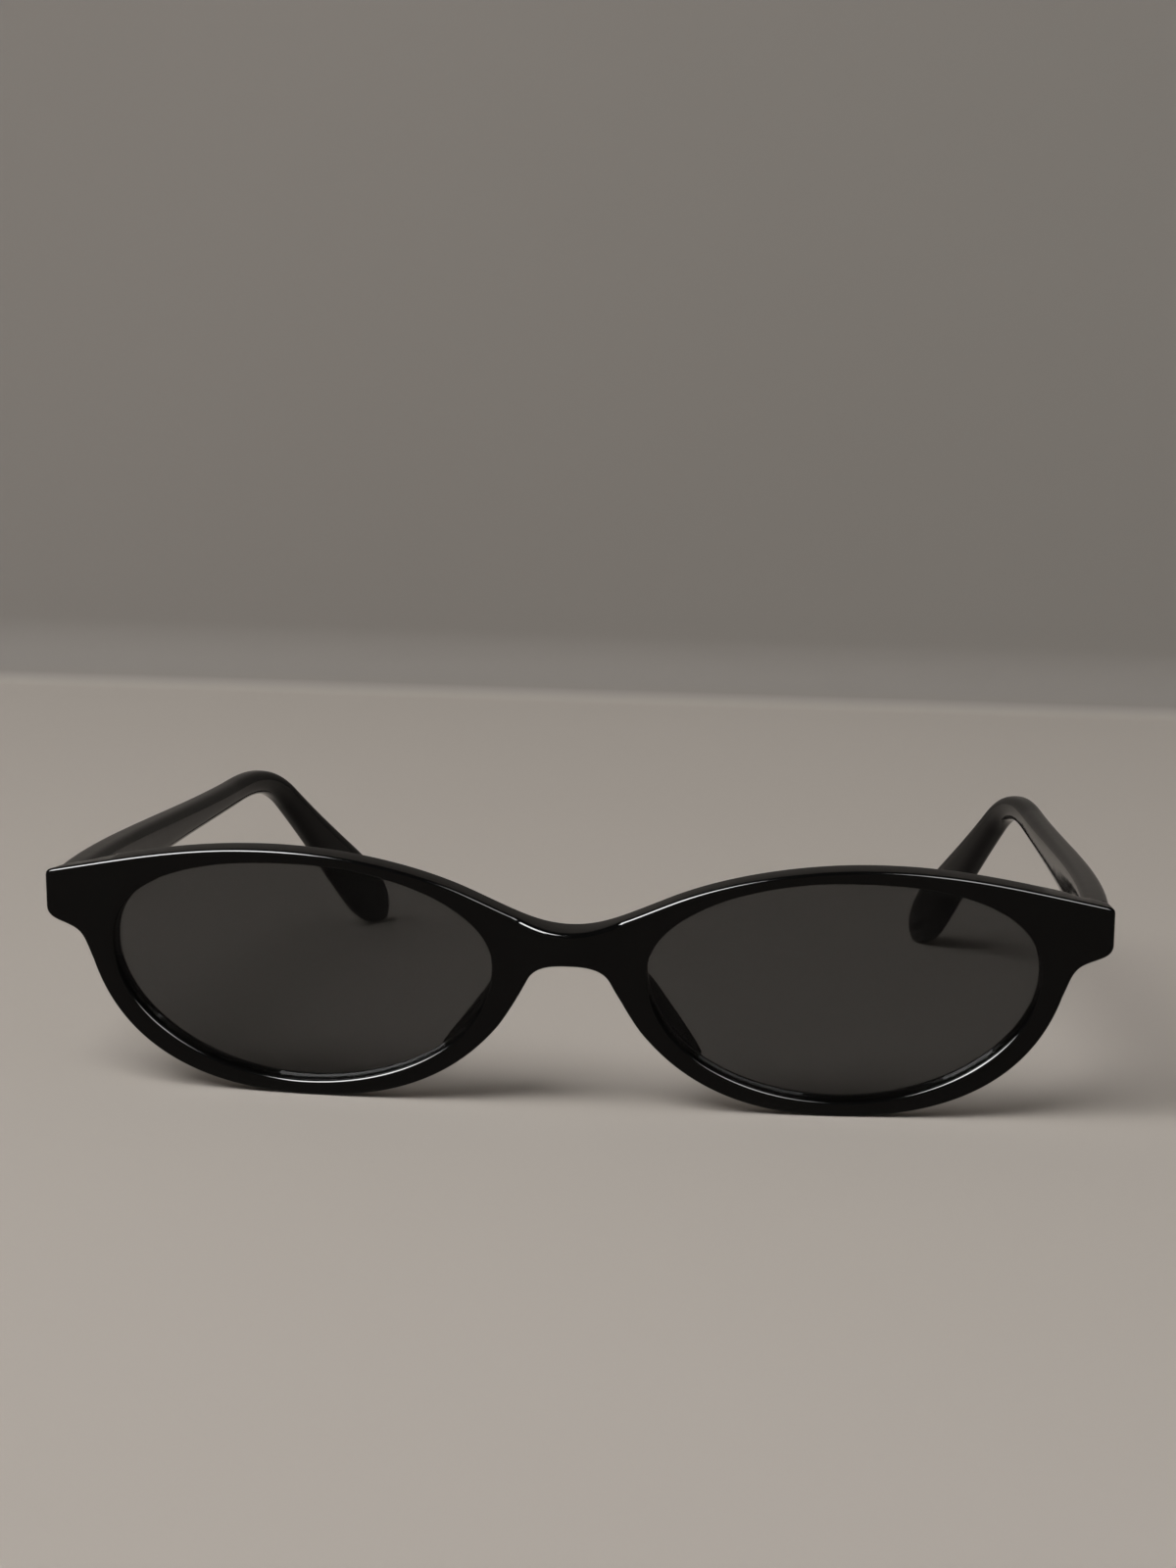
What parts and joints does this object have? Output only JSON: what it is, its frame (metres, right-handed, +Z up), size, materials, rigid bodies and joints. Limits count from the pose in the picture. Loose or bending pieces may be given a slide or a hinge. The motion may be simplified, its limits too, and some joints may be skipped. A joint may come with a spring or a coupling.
{
  "type": "oval sunglasses",
  "caption": "Slim oval sunglasses with a keyless bridge, smoke lenses, glued nose pads and two folding temples on knuckle hinges.",
  "frame": {"origin": "on the surface the glasses stand on, midway between the ends and midway from the front's foremost point to the tips", "axes": "+X across the front to the right as seen from ahead, +Y back along the temples, +Z up"},
  "size_m": [0.14, 0.1256, 0.0337],
  "materials": {
    "acetate_black": "polished cellulose acetate, black",
    "pad_acetate": "polished cellulose acetate, black",
    "lens_smoke": "polished grey tinted sun lens",
    "hinge_metal": "tumbled nickel silver",
    "core_metal": "drawn nickel silver wire"
  },
  "bodies": {
    "front": {"front_frame": "acetate_black", "lens_left": "lens_smoke", "lens_right": "lens_smoke", "nose_pad_left": "pad_acetate", "nose_pad_right": "pad_acetate", "front_hinge_leaf_left": "hinge_metal", "front_hinge_leaf_right": "hinge_metal", "hinge_screw_left": "hinge_metal", "hinge_screw_right": "hinge_metal"},
    "temple_left": {"temple_left": "acetate_black", "temple_hinge_leaf_left": "hinge_metal", "core_wire_left": "core_metal"},
    "temple_right": {"temple_right": "acetate_black", "temple_hinge_leaf_right": "hinge_metal", "core_wire_right": "core_metal"}
  },
  "joints": [
    {"name": "temple_left_fold", "type": "hinge", "parent": "front", "child": "temple_left", "pos_m": [-0.06535, -0.05183, 0.02525], "axis": [0, 0, -1], "range_deg": [0, 69]},
    {"name": "temple_right_fold", "type": "hinge", "parent": "front", "child": "temple_right", "pos_m": [0.06535, -0.05183, 0.02525], "axis": [0, 0, 1], "range_deg": [0, 78]}
  ]
}
